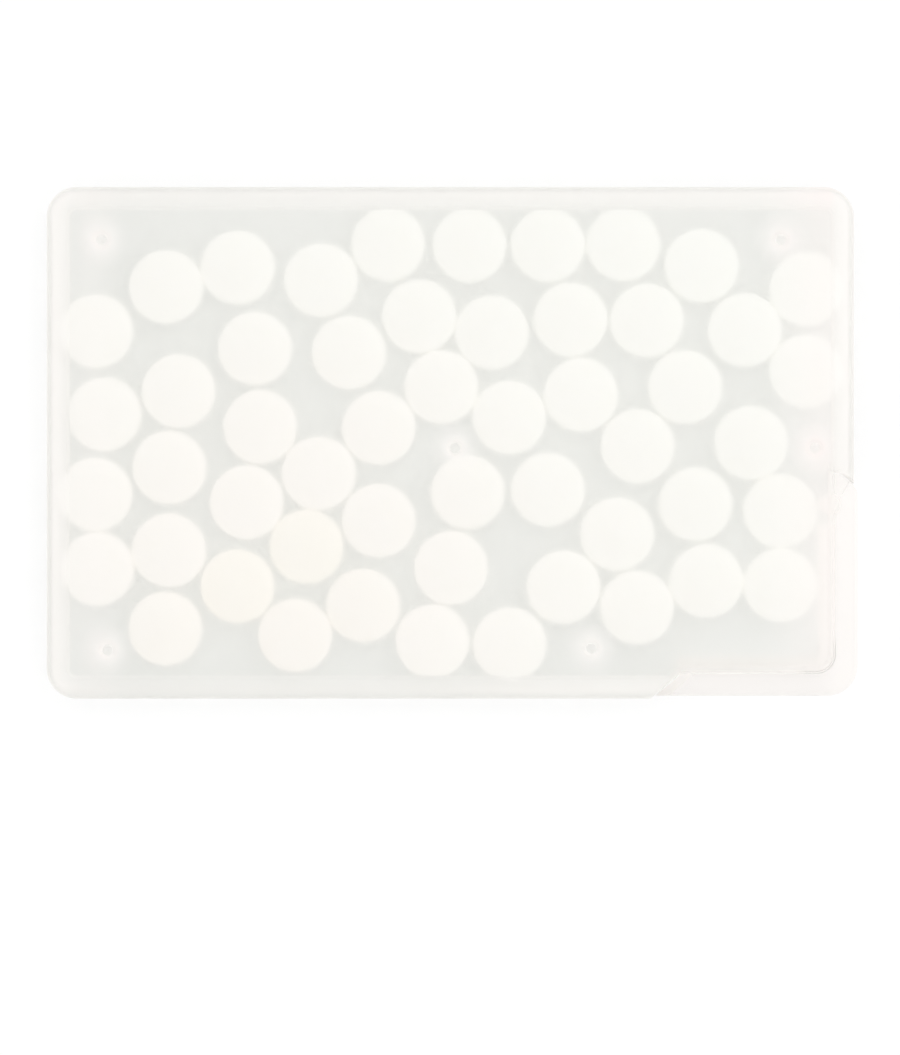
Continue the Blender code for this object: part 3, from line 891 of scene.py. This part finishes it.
@dataclass(frozen=True)
class CardPlan:
    """The card in plan, and the heights that both shells share.

    Attributes:
        left: The case's left side.
        right: Its right side, which the door stands proud of.
        half_width: Half of its width.
        corner: Radius of its outer corners.
        wall: Thickness of the side wall.
        skin: Thickness of the two plates.
        thickness: Thickness of the card.
        edge: Rounding of the outer edges.
        crisp: Share of that rounding which the edges along the slit have.
        plate_corner: Corner of the plates inside the door's elbow.
        slit: Where the plates end at the door, x and y.
        pin: Middle of the hinge pin.
        swing: Radius of the door's end round the pin.
        gap: Slit between door and plates.
        end_x: Left end of the door's lower edge.
        end_y: Height of the door's lower edge.
        end_angle: Slant of the free end.
        posts: Middles of the five posts on pads.
        slim_post: Middle of the post between two mints.
        corner_steps: Chords in a large arc.
        small_steps: Chords in a small one.
        round_steps: Chords in a rounded edge.
        sides: Sides of a post or pin.
        overrun: How far a cutting body runs on past what it cuts.
    """

    left: float = -0.0428
    right: float = 0.0424
    half_width: float = 0.0270
    corner: float = 0.0032
    wall: float = 0.0010
    skin: float = 0.0008
    thickness: float = 0.0050
    edge: float = 0.0004
    crisp: float = 0.30
    plate_corner: float = 0.0018
    slit: Point = (0.04025, -0.02415)
    pin: Point = (0.03974, -0.00646)
    swing: float = math.hypot(0.00306, 0.0012)
    gap: float = 0.00015
    end_x: float = 0.0215
    end_y: float = -0.0267
    end_angle: float = math.radians(40.0)
    posts: tuple[Point, ...] = ((-0.03702, 0.02143), (0.03467, 0.02143), (0.03827, -0.00054),
                                (-0.03636, -0.02189), (0.01470, -0.02169))
    slim_post: Point = (0.00030, -0.00054)
    corner_steps: int = 20
    small_steps: int = 12
    round_steps: int = 6
    sides: int = 40
    overrun: float = 0.0010

    @property
    def split(self) -> float:
        """Height of the seam between the shells."""
        return self.thickness / 2

    @property
    def ceiling(self) -> float:
        """Height of the front plate's inner face."""
        return self.thickness - self.skin

    def end_line(self, y: float, offset: float) -> float:
        """X where the slanted end of the lower arm, moved by offset into the case, meets y."""
        rise = (y - self.end_y) * math.cos(self.end_angle)
        return self.end_x + (rise - offset) / math.sin(self.end_angle)

    def case_outline(self, inset: float, at_slit: Optional[float] = None) -> np.ndarray:
        """The case without its door corner, drawn in by inset on every side.

        Args:
            inset: How far it is drawn in.
            at_slit: How far it is drawn in along the door's slit, where that differs.

        Returns:
            One row of x and y per point, anticlockwise.
        """
        fine = inset if at_slit is None else at_slit
        swing = self.swing + self.gap + fine
        near = math.acos((self.slit[0] - fine - self.pin[0]) / swing)
        far = math.acos((self.right - inset - self.pin[0]) / swing)
        foot, head = -self.half_width + inset, self.slit[1] + fine
        elbow = (self.slit[0] - self.plate_corner, self.slit[1] + self.plate_corner)
        west, east = self.left + self.corner, self.right - self.corner
        south, north = -self.half_width + self.corner, self.half_width - self.corner
        radius, steps = self.corner - inset, self.corner_steps
        return np.concatenate([
            arc((west, south), radius, 2 * QUARTER, 3 * QUARTER, steps),
            [(self.end_line(y, self.gap + fine), y) for y in (foot, head)],
            arc(elbow, self.plate_corner - fine, 3 * QUARTER, 4 * QUARTER, self.small_steps),
            arc(self.pin, swing, near, far, steps),
            arc((east, north), radius, 0.0, QUARTER, steps),
            arc((west, north), radius, QUARTER, 2 * QUARTER, steps)])

    def room(self, mouth_left: float) -> "Solid":
        """The space between the plates, with the mouth that the door shuts.

        Args:
            mouth_left: Where the mouth starts along the lower edge.

        Returns:
            The space as a solid.
        """
        right, foot, head = self.slit[0] + self.overrun, self.slit[1] - self.overrun, self.pin[1]
        mouth = np.array([(mouth_left, foot), (right, foot), (right, head), (mouth_left, head)])
        swing = circle(self.pin, self.swing + self.gap, 2 * self.sides)
        room = Solid.prism("room", self.case_outline(self.wall), self.skin, self.ceiling)
        return room.join(Solid.prism("mouth", mouth, self.skin, self.ceiling),
                         Solid.prism("swing_room", swing, self.skin, self.ceiling))


@dataclass
class Solid:
    """A closed body under work, to which others are joined or from which they are cut.

    Attributes:
        body: The object that holds its mesh.
    """

    body: bpy.types.Object

    @classmethod
    def loft(cls, name: str, sections: list[tuple[np.ndarray, float]]) -> "Solid":
        """A body through flat sections: vertex (i, j) is point j of section i, at its height.

        Args:
            name: The body's name.
            sections: Outlines of one count of points with their heights, from the lowest up.

        Returns:
            The body.
        """
        sides = len(sections[0][0])
        points = np.concatenate([np.column_stack([outline, np.full(sides, height)])
                                 for outline, height in sections])
        foot = np.arange(sides)[None, ::-1]
        top = np.arange(sides)[None] + (len(sections) - 1) * sides
        return cls(mesh_object(name, points, [ring_faces(len(sections), sides), foot, top]))

    @classmethod
    def prism(cls, name: str, outline: np.ndarray, low: float, high: float) -> "Solid":
        """An upright prism."""
        return cls.loft(name, [(outline, low), (outline, high)])

    @classmethod
    def turned(cls, name: str, centre: Point, profile: Pairs, sides: int) -> "Solid":
        """An upright turned body: circles of each radius of the profile at its height.

        Args:
            name: The body's name.
            centre: Its axis.
            profile: Pairs of radius and height, from the lowest up.
            sides: Sides of each circle.

        Returns:
            The body.
        """
        sections = [(circle(centre, radius, sides), height) for radius, height in profile]
        return cls.loft(name, sections)

    @classmethod
    def rod(cls, name: str, centre: Point, radius: float, low: float, high: float,
            sides: int) -> "Solid":
        """An upright round rod."""
        return cls.turned(name, centre, ((radius, low), (radius, high)), sides)

    def _combine(self, operation: str, others: tuple["Solid", ...]) -> "Solid":
        """Works others into this body one by one, and removes them.

        Args:
            operation: How they are worked in.
            others: The other bodies.

        Returns:
            This body.
        """
        for other in others:
            modifier = self.body.modifiers.new(other.body.name, "BOOLEAN")
            modifier.operation = operation
            modifier.solver = "EXACT"
            modifier.object = other.body
            graph = bpy.context.evaluated_depsgraph_get()
            result = bpy.data.meshes.new_from_object(self.body.evaluated_get(graph))
            self.body.modifiers.clear()
            self.body.data = result
            bpy.data.objects.remove(other.body, do_unlink=True)
        return self

    def join(self, *others: "Solid") -> "Solid":
        """Adds others."""
        return self._combine("UNION", others)

    def cut(self, *others: "Solid") -> "Solid":
        """Takes others away."""
        return self._combine("DIFFERENCE", others)

    def meet(self, *others: "Solid") -> "Solid":
        """Keeps what this and others share."""
        return self._combine("INTERSECT", others)

    def done(self, name: str, material: bpy.types.Material, node: str, body: str,
             slot: str) -> bpy.types.Object:
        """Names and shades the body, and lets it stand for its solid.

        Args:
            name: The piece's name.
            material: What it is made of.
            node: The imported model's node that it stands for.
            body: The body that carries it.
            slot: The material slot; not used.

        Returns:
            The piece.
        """
        piece = self.body
        piece.name = piece.data.name = name
        piece.data.materials.clear()
        piece.data.materials.append(material)
        piece.data.shade_smooth()
        piece.data.set_sharp_from_angle(angle=SHARP_ANGLE)
        even = piece.modifiers.new("even_flats", "WEIGHTED_NORMAL")
        even.keep_sharp = True
        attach(piece, body)
        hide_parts(node)
        return piece


@dataclass(frozen=True)
class PostSizes:
    """The posts that hold the shells together: pegs on pads, and the bosses that take them.

    Attributes:
        peg: Radius of a peg.
        peg_fit: Clearance of a peg in its boss.
        peg_top: Room over a peg.
        tip: Chamfer of a peg's tip and of a boss's mouth.
        pad: Radius of a pad.
        pad_height: Its height.
        boss: Radius of a boss.
        slim: Radius of the slim post, pad and boss alike.
        mouth_gap: Room between a boss and its pad.
        root: Fillet where a boss or pad grows out of its plate.
        dish: Radius of the shallow dish over each post in the front face.
        dish_floor: Radius of its floor.
        dish_depth: Its depth.
        button: Radius of the pin mark in the middle of the dish.
        button_low: How far the pin mark lies under the face.
    """

    peg: float = 0.0005
    peg_fit: float = 0.00005
    peg_top: float = 0.0005
    tip: float = 0.0001
    pad: float = 0.0017
    pad_height: float = 0.0003
    boss: float = 0.0010
    slim: float = 0.0009
    mouth_gap: float = 0.0001
    root: float = 0.00012
    dish: float = 0.00098
    dish_floor: float = 0.00070
    dish_depth: float = 0.00012
    button: float = 0.00052
    button_low: float = 0.00003


@dataclass
class ShellPair:
    """The back shell with its tongue and pegs, and the front shell with its rebate and bosses.

    Attributes:
        plan: The card's plan.
        posts: Sizes of the posts.
        seam: Gap of the seam.
        tongue_height: Height of the tongue over the seam.
        tongue_fit: Clearance of the tongue.
        seam_break: How far the edges at the seam are broken.
        border: Width of the raised border.
        sink: Depth of the panel.
        slope: Width of the soft step down to the panel.
        slope_rings: Outlines on that step.
        lip: Land between the panel and the slit.
        panel_corner: Corner of the panel.
        ear: Radius of the plates' ears round the pin.
        pin_hole: Radius of the holes for the pin.
        pin_depth: Depth of the holes.
        mouth_left: Where the mouth between the plates starts.
        body: The body that carries the shells.
        tray_finish: The back shell's plastic, darker than the front's: painted shade for the gaps
            between the mints.
        lid_finish: The front shell's plastic.
    """

    plan: CardPlan
    posts: PostSizes = PostSizes()
    seam: float = 0.0001
    tongue_height: float = 0.0006
    tongue_fit: float = 0.00005
    seam_break: float = 0.00006
    border: float = 0.0020
    sink: float = 0.00015
    slope: float = 0.0005
    slope_rings: int = 9
    lip: float = 0.0002
    panel_corner: float = 0.0012
    ear: float = 0.00115
    pin_hole: float = 0.00055
    pin_depth: float = 0.00045
    mouth_left: float = 0.02355
    body: str = "case"
    # The back shell's colour is darker than the front's: painted shade for the gaps between the
    # mints, seen through it.
    tray_finish: FrostedPlastic = FrostedPlastic(
        "frosted_tray", light=(0.892, 0.893, 0.876), dense=(0.884, 0.885, 0.866),
        passing=(0.935, 0.938, 0.928))
    lid_finish: FrostedPlastic = FrostedPlastic("frosted_lid", haze=(
        (-0.0405, 0.0), (-0.0392, 0.08), (-0.0380, 0.10), (-0.0350, 0.0), (0.0325, 0.0),
        (0.0355, 0.10), (0.0385, 0.22), (0.0398, 0.22), (0.0406, 0.0)))

    def rim(self, face: float, towards: float) -> list[tuple[np.ndarray, float]]:
        """Sections of a rounded outer edge, from its flat face to the side.

        Args:
            face: Height of the flat face.
            towards: 1 where the case lies above it, -1 where it lies below.

        Returns:
            Outlines with their heights.
        """
        plan = self.plan
        return [(plan.case_outline(inset, inset * plan.crisp), face + towards * depth)
                for inset, depth in rounding(plan.edge, plan.round_steps)]

    def ear_body(self, low: float, high: float) -> Solid:
        """The ear of one plate round the pin, rounded over at its outer face.

        Args:
            low: The plate's lower face, which is at 0 in the back one.
            high: Its upper face.

        Returns:
            The ear.
        """
        plan = self.plan
        steps = rounding(plan.edge, plan.round_steps)
        if low == 0.0:
            profile = [(self.ear - inset, low + depth) for inset, depth in steps]
            profile.append((self.ear, high))
        else:
            profile = [(self.ear - inset, high - depth) for inset, depth in steps[::-1]]
            profile.insert(0, (self.ear, low))
        return Solid.turned("ear", plan.pin, tuple(profile), plan.sides)

    def post_feet(self, radius: float) -> list[tuple[Point, float]]:
        """Each post's middle with the radius there, of which the slim post has its own."""
        posts = [(centre, radius) for centre in self.plan.posts]
        return posts + [(self.plan.slim_post, self.posts.slim)]

    def back(self) -> bpy.types.Object:
        """Makes the back shell.

        Returns:
            The shell.
        """
        plan, posts, broken = self.plan, self.posts, self.seam_break
        sections = self.rim(0.0, 1.0) + [(plan.case_outline(0.0), plan.split - broken),
                                         (plan.case_outline(broken), plan.split)]
        inside = plan.wall / 2 + self.tongue_fit
        top = plan.split + self.tongue_height
        tongue = [(plan.case_outline(inside), plan.split - 2 * broken),
                  (plan.case_outline(inside), top - broken),
                  (plan.case_outline(inside + broken), top)]
        shell = Solid.loft("tray", sections).join(Solid.loft("tongue", tongue))
        shell.cut(plan.room(self.mouth_left)).join(self.ear_body(0.0, plan.skin))
        pad_top, peg_top = plan.skin + posts.pad_height, plan.ceiling - posts.peg_top
        peg = ((posts.peg, plan.skin), (posts.peg, peg_top - posts.tip),
               (posts.peg - posts.tip, peg_top))
        for centre, radius in self.post_feet(posts.pad):
            pad = ((radius + posts.root, plan.skin - posts.root),
                   *eased(radius, plan.skin, posts.root, posts.root),
                   *eased(radius, pad_top, -posts.tip, -posts.tip))
            shell.join(Solid.turned("pad", centre, pad, plan.sides),
                       Solid.turned("peg", centre, peg, plan.sides))
        shell.cut(Solid.rod("hole", plan.pin, self.pin_hole, plan.skin - self.pin_depth,
                            plan.thickness, plan.sides))
        return shell.done("tray_shell", self.tray_finish.build(), "back_shell", self.body,
                          "frosted_back")

    def panel(self) -> Solid:
        """What is cut away for the sunk panel, with a soft step all round.

        At height h over the panel the outline is drawn in by slope (1 - s), where
        h = sink (3 s^2 - 2 s^3).

        Returns:
            The space over the panel.
        """
        plan = self.plan
        share = np.linspace(0.0, 1.0, self.slope_rings)
        height = plan.thickness - self.sink + self.sink * (3 * share ** 2 - 2 * share ** 3)
        drawn = self.slope * (1.0 - share)
        steps = list(zip(drawn.tolist(), height.tolist())) + [(0.0, plan.thickness + plan.skin)]
        left, right = plan.left + self.border, plan.right - self.border
        half = plan.half_width - self.border
        field_side = [(box_outline(left + inset, right - inset, -half + inset, half - inset,
                                   self.panel_corner - inset, plan.small_steps), z)
                      for inset, z in steps]
        land_side = [(plan.case_outline(self.lip + inset), z) for inset, z in steps]
        return Solid.loft("panel", field_side).meet(Solid.loft("land", land_side))

    def mark(self, shell: Solid, centre: Point) -> None:
        """Leaves the mould's mark of one post in the sunk panel: a dish with a pin mark in it.

        Args:
            shell: The front shell.
            centre: The post's middle.
        """
        plan, posts = self.plan, self.posts
        face = plan.thickness - self.sink
        floor, top, soft = face - posts.dish_depth, face - posts.button_low, posts.button_low
        dish = ((posts.dish_floor, floor), (posts.dish, face), (posts.dish, plan.thickness))
        button = ((posts.button, floor - posts.dish_depth), *eased(posts.button, top, -soft, -soft))
        shell.cut(Solid.turned("dish", centre, dish, plan.sides))
        shell.join(Solid.turned("button", centre, button, plan.sides))

    def front(self) -> bpy.types.Object:
        """Makes the front shell, whose plastic shows where the posts are.

        Returns:
            The shell.
        """
        plan, posts, broken = self.plan, self.posts, self.seam_break
        low = plan.split + self.seam
        sections = [(plan.case_outline(broken), low), (plan.case_outline(0.0), low + broken)]
        shell = Solid.loft("lid", sections + self.rim(plan.thickness, -1.0)[::-1])
        rebate = Solid.prism("rebate", plan.case_outline(plan.wall / 2), low - plan.wall,
                             plan.split + self.tongue_height + self.tongue_fit)
        shell.cut(rebate, plan.room(self.mouth_left))
        shell.join(self.ear_body(plan.ceiling, plan.thickness)).cut(self.panel())
        mouth = plan.skin + posts.pad_height + posts.mouth_gap
        clear = posts.peg + posts.peg_fit
        bore = ((clear, mouth - plan.skin), (clear, plan.ceiling - posts.tip),
                (clear - posts.tip, plan.ceiling))
        for centre, radius in self.post_feet(posts.boss):
            boss = ((radius - posts.tip, mouth), (radius, mouth + posts.tip),
                    *eased(radius, plan.ceiling, posts.root, -posts.root),
                    (radius + posts.root, plan.ceiling + posts.root))
            shell.join(Solid.turned("boss", centre, boss, plan.sides))
            shell.cut(Solid.turned("bore", centre, bore, plan.sides))
            self.mark(shell, centre)
        shell.cut(Solid.rod("hole", plan.pin, self.pin_hole, 0.0, plan.ceiling + self.pin_depth,
                            plan.sides))
        finish = replace(self.lid_finish, posts=(*plan.posts, plan.slim_post))
        return shell.done("lid_shell", finish.build(), "front_shell", self.body, "frosted_front")


@dataclass
class CornerDoor:
    """The L-shaped door with its flange, its web and its hub with the pin's two ends.

    Attributes:
        plan: The card's plan.
        right: Its outer side.
        sink: How far it lies back from both faces.
        open_angle: How far it turns, which the lean of its stop gives.
        flange: Width of the flange.
        flange_low: Height of the flange's foot.
        flange_high: Height of its top.
        flange_left: Its left end.
        flange_top: Its upper end.
        flange_corner: Its inner corner.
        bite: How far the flange and the web run into the L.
        thumb_width: Width of the bevel for the thumb.
        thumb_depth: Its depth.
        ear: Radius of the plates' ears.
        hub: Radius of the hub.
        pin_radius: Radius of the pin.
        pin_depth: How deep it sits in each plate.
        body: The body that carries it.
        finish: Its plastic, milkiest in the flange, which is seen through the lid.
    """

    plan: CardPlan
    right: float = 0.0428
    sink: float = 0.0001
    open_angle: float = math.radians(30.0)
    flange: float = 0.0015
    flange_low: float = 0.0009
    flange_high: float = 0.0041
    flange_left: float = 0.0237
    flange_top: float = -0.00866
    flange_corner: float = 0.0005
    bite: float = 0.0002
    thumb_width: float = 0.0008
    thumb_depth: float = 0.0014
    ear: float = 0.00115
    hub: float = 0.0010
    pin_radius: float = 0.0005
    pin_depth: float = 0.0004
    body: str = "door"
    # On the door the painted light pull rises faster up the card.
    finish: FrostedPlastic = FrostedPlastic(
        "frosted_corner", light=(0.915, 0.890, 0.875), dense=(0.907, 0.882, 0.865),
        rim_milk=((-0.0020, 1.0), (-0.0007, 1.0), (-0.0003, 0.5), (0.0020, 0.5)),
        painted_light_pull=(3.8, 14.0), foot_milk=((0.0, 0.0), (0.020, 0.0)), steep_milk=0.8)

    def outline(self, inset: float) -> np.ndarray:
        """The L in plan, drawn in by inset, with the stop that leans back past the pin.

        Args:
            inset: How far it is drawn in.

        Returns:
            One row of x and y per point, anticlockwise.
        """
        plan = self.plan
        fine = inset * plan.crisp
        setback, swing = self.right - plan.pin[0], plan.swing - fine
        clear = plan.slit[0] + plan.gap + fine - plan.pin[0]
        start = math.acos((setback - inset) / swing)
        stop = math.acos(clear / swing) - self.open_angle
        foot, head = plan.end_y + inset, plan.slit[1] - plan.gap - fine
        corner = (self.right - plan.corner, plan.end_y + plan.corner)
        elbow = (plan.slit[0] - plan.plate_corner, plan.slit[1] + plan.plate_corner)
        lean = (plan.pin[0] + clear, plan.pin[1] - clear * math.tan(self.open_angle / 2))
        return np.concatenate([
            [(plan.end_line(foot, -fine), foot)],
            arc(corner, plan.corner - inset, 3 * QUARTER, 4 * QUARTER, plan.corner_steps),
            arc(plan.pin, swing, start, stop, plan.small_steps),
            [lean],
            arc(elbow, plan.plate_corner + plan.gap + fine, 0.0, -QUARTER, plan.small_steps),
            [(plan.end_line(head, -fine), head)]])

    def flange_outline(self) -> np.ndarray:
        """The lip on the inner side that shuts the mouth between the plates, in plan.

        Returns:
            One row of x and y per point, anticlockwise.
        """
        plan = self.plan
        outer = (plan.slit[0] + plan.gap + self.bite, plan.slit[1] - plan.gap - self.bite)
        inner = (plan.slit[0] - self.flange, plan.slit[1] + self.flange)
        corner = (inner[0] - self.flange_corner, inner[1] + self.flange_corner)
        return np.concatenate([
            [(self.flange_left, outer[1]), outer, (outer[0], self.flange_top),
             (inner[0], self.flange_top)],
            arc(corner, self.flange_corner, 0.0, -QUARTER, plan.small_steps),
            [(self.flange_left, inner[1])]])

    def web_outline(self) -> np.ndarray:
        """The thin web that fills the wedge behind the stop, in plan.

        Returns:
            One row of x and y per point, anticlockwise.
        """
        plan = self.plan
        clear = plan.slit[0] + plan.gap - plan.pin[0]
        edge = math.acos(clear / plan.swing)
        start = edge - self.open_angle - self.bite / plan.swing
        foot = (plan.pin[0] + clear, plan.pin[1] - clear)
        return np.concatenate([
            [foot, (foot[0] + self.bite, foot[1])],
            arc(plan.pin, plan.swing, start, edge, plan.small_steps)])

    def thumb_bevel(self, low: float, high: float) -> Solid:
        """A wedge over the free end, widest at a face of the door.

        Args:
            low: Height where the bevel runs out.
            high: Height of the face that it opens on, which may lie below.

        Returns:
            The wedge.
        """
        plan, out = self.plan, self.plan.overrun
        across = np.array((math.sin(plan.end_angle), -math.cos(plan.end_angle)))
        feet = np.array([(plan.end_line(y, 0.0), y)
                         for y in (plan.end_y - out, plan.slit[1] + out)])

        def section(depth: float) -> np.ndarray:
            """The wedge's outline where it is depth deep."""
            return np.stack([feet[0] - out * across, feet[0] + depth * across,
                             feet[1] + depth * across, feet[1] - out * across])

        beyond = self.thumb_width * (1.0 + out / self.thumb_depth)
        if high > low:
            return Solid.loft("bevel", [(section(0.0), low), (section(beyond), high + out)])
        return Solid.loft("bevel", [(section(beyond), high - out), (section(0.0), low)])

    def build(self) -> bpy.types.Object:
        """Makes the door.

        Returns:
            The door.
        """
        plan, low, high = self.plan, self.flange_low, self.flange_high
        top = plan.thickness - self.sink
        steps = rounding(plan.edge, plan.round_steps)
        sections = [(self.outline(inset), self.sink + depth) for inset, depth in steps]
        sections += [(self.outline(inset), top - depth) for inset, depth in steps[::-1]]
        clear = self.ear + plan.gap
        door = Solid.loft("corner", sections)
        door.cut(Solid.rod("front_ear", plan.pin, clear, high, top + plan.overrun, plan.sides),
                 Solid.rod("back_ear", plan.pin, clear, -plan.overrun, low, plan.sides),
                 self.thumb_bevel(top - self.thumb_depth, top),
                 self.thumb_bevel(self.sink + self.thumb_depth, self.sink))
        door.join(Solid.prism("flange", self.flange_outline(), low, high),
                  Solid.prism("web", self.web_outline(), low, high),
                  Solid.rod("hub", plan.pin, self.hub, low, high, plan.sides),
                  Solid.rod("pin", plan.pin, self.pin_radius, plan.skin - self.pin_depth,
                            plan.ceiling + self.pin_depth, plan.sides))
        return door.done("swing_corner", self.finish.build(), "corner_door", self.body,
                         "frosted_door")


@dataclass(frozen=True)
class SoftBox:
    """A square lamp that looks at the card.

    Attributes:
        name: The lamp's name.
        place: Where it hangs.
        side: The length of its side.
        level: How bright it makes a white surface that faces it, where 1 is white.
    """

    name: str
    place: tuple[float, float, float]
    side: float
    level: float

    def hang(self) -> bpy.types.Object:
        """Makes the lamp.

        A lamp of power P at distance d makes white paper P / (pi^2 d^2) bright.

        Returns:
            The lamp.
        """
        lamp = bpy.data.lights.new(self.name, "AREA")
        lamp.shape = "SQUARE"
        lamp.size = self.side
        distance = Vector(self.place).length
        lamp.energy = self.level * math.pi ** 2 * distance ** 2
        made = bpy.data.objects.new(self.name, lamp)
        made.location = self.place
        made.rotation_euler = (-Vector(self.place)).to_track_quat("-Z", "Y").to_euler()
        bpy.context.scene.collection.objects.link(made)
        return made


@dataclass
class Studio:
    """Floor, sky, lamps and camera.

    Attributes:
        floor_side: Side of the floor.
        sky: How bright the sky is, where 1 is white.
        lamps: The lamps.
        image: Width and height of the photograph in pixels.
        card_middle: Where the card's middle is in it.
        pixels_per_metre: Its scale at the card's front face.
        distance: From the camera to that face.
        sensor: Long side of the camera's sensor, in millimetres.
        clip: The nearest and the farthest distance that the camera sees.
    """

    floor_side: float = 6.0
    sky: float = 0.93
    lamps: tuple[SoftBox, ...] = (
        SoftBox("key", (0.40, 0.30, 0.95), 1.20, 0.17),
    )
    image: tuple[int, int] = (900, 1055)
    card_middle: Point = (452.25, 442.75)
    pixels_per_metre: float = 9480.0
    distance: float = 0.9
    sensor: float = 36.0
    clip: Point = (0.01, 20.0)

    def build_floor(self) -> bpy.types.Object:
        """Lays the floor under the card.

        Returns:
            The floor.
        """
        half = self.floor_side / 2
        corners = np.array([(-half, -half, 0.0), (half, -half, 0.0),
                            (half, half, 0.0), (-half, half, 0.0)])
        floor = mesh_object("floor", corners, [np.array([[0, 1, 2, 3]])])
        floor.data.materials.append(WhiteFloor("white_floor").build())
        floor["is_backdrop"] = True
        return floor

    def build_sky(self) -> None:
        """Makes an even sky, which the camera sees as plain white."""
        world = bpy.data.worlds.new("even_sky")
        world.use_nodes = True
        graph = Graph(world.node_tree)
        light, white = (graph.node("ShaderNodeBackground", None,
                                   {"Color": (*WHITE, 1.0), "Strength": strength})
                        for strength in (self.sky, 1.0))
        both = graph.mix_shader(graph.ray("Is Camera Ray"), light, white)
        graph.node("ShaderNodeOutputWorld", None, {"Surface": both.outputs[0]})
        bpy.context.scene.world = world

    def build_camera(self) -> bpy.types.Object:
        """Hangs the camera over the card, looking straight down.

        The long side of the image covers image / scale metres at the card's face, so
        the lens is distance times sensor over that length.

        Returns:
            The camera.
        """
        card_low, card_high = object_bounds()
        face = card_high.z
        data = bpy.data.cameras.new("camera")
        data.sensor_width = self.sensor
        data.lens = self.distance * self.sensor * self.pixels_per_metre / max(self.image)
        data.clip_start, data.clip_end = self.clip
        camera = bpy.data.objects.new("camera", data)
        middle = (card_low + card_high) / 2
        right = (self.image[0] / 2 - self.card_middle[0]) / self.pixels_per_metre
        down = (self.image[1] / 2 - self.card_middle[1]) / self.pixels_per_metre
        camera.location = (middle.x + right, middle.y - down, face + self.distance)
        bpy.context.scene.collection.objects.link(camera)
        bpy.context.scene.camera = camera
        return camera

    def build(self) -> None:
        """Sets everything up."""
        self.build_floor()
        self.build_sky()
        for lamp in self.lamps:
            lamp.hang()
        self.build_camera()
        bpy.context.scene.view_settings.view_transform = "Standard"


def main() -> None:
    """Builds the card and its studio, and reports each piece."""
    logging.basicConfig(level=logging.INFO, format="%(name)s: %(message)s")
    mints = MintLayer().build()
    LOG.info("mints: %d pieces, %s to %s", len(mints), mints[0].name, mints[-1].name)
    plan = CardPlan()
    shells = ShellPair(plan)
    for piece in (shells.back(), shells.front(), CornerDoor(plan).build()):
        LOG.info("%s: %d faces", piece.name, len(piece.data.polygons))
    Studio().build()
    LOG.info("studio ready")


if __name__ == "__main__":
    main()
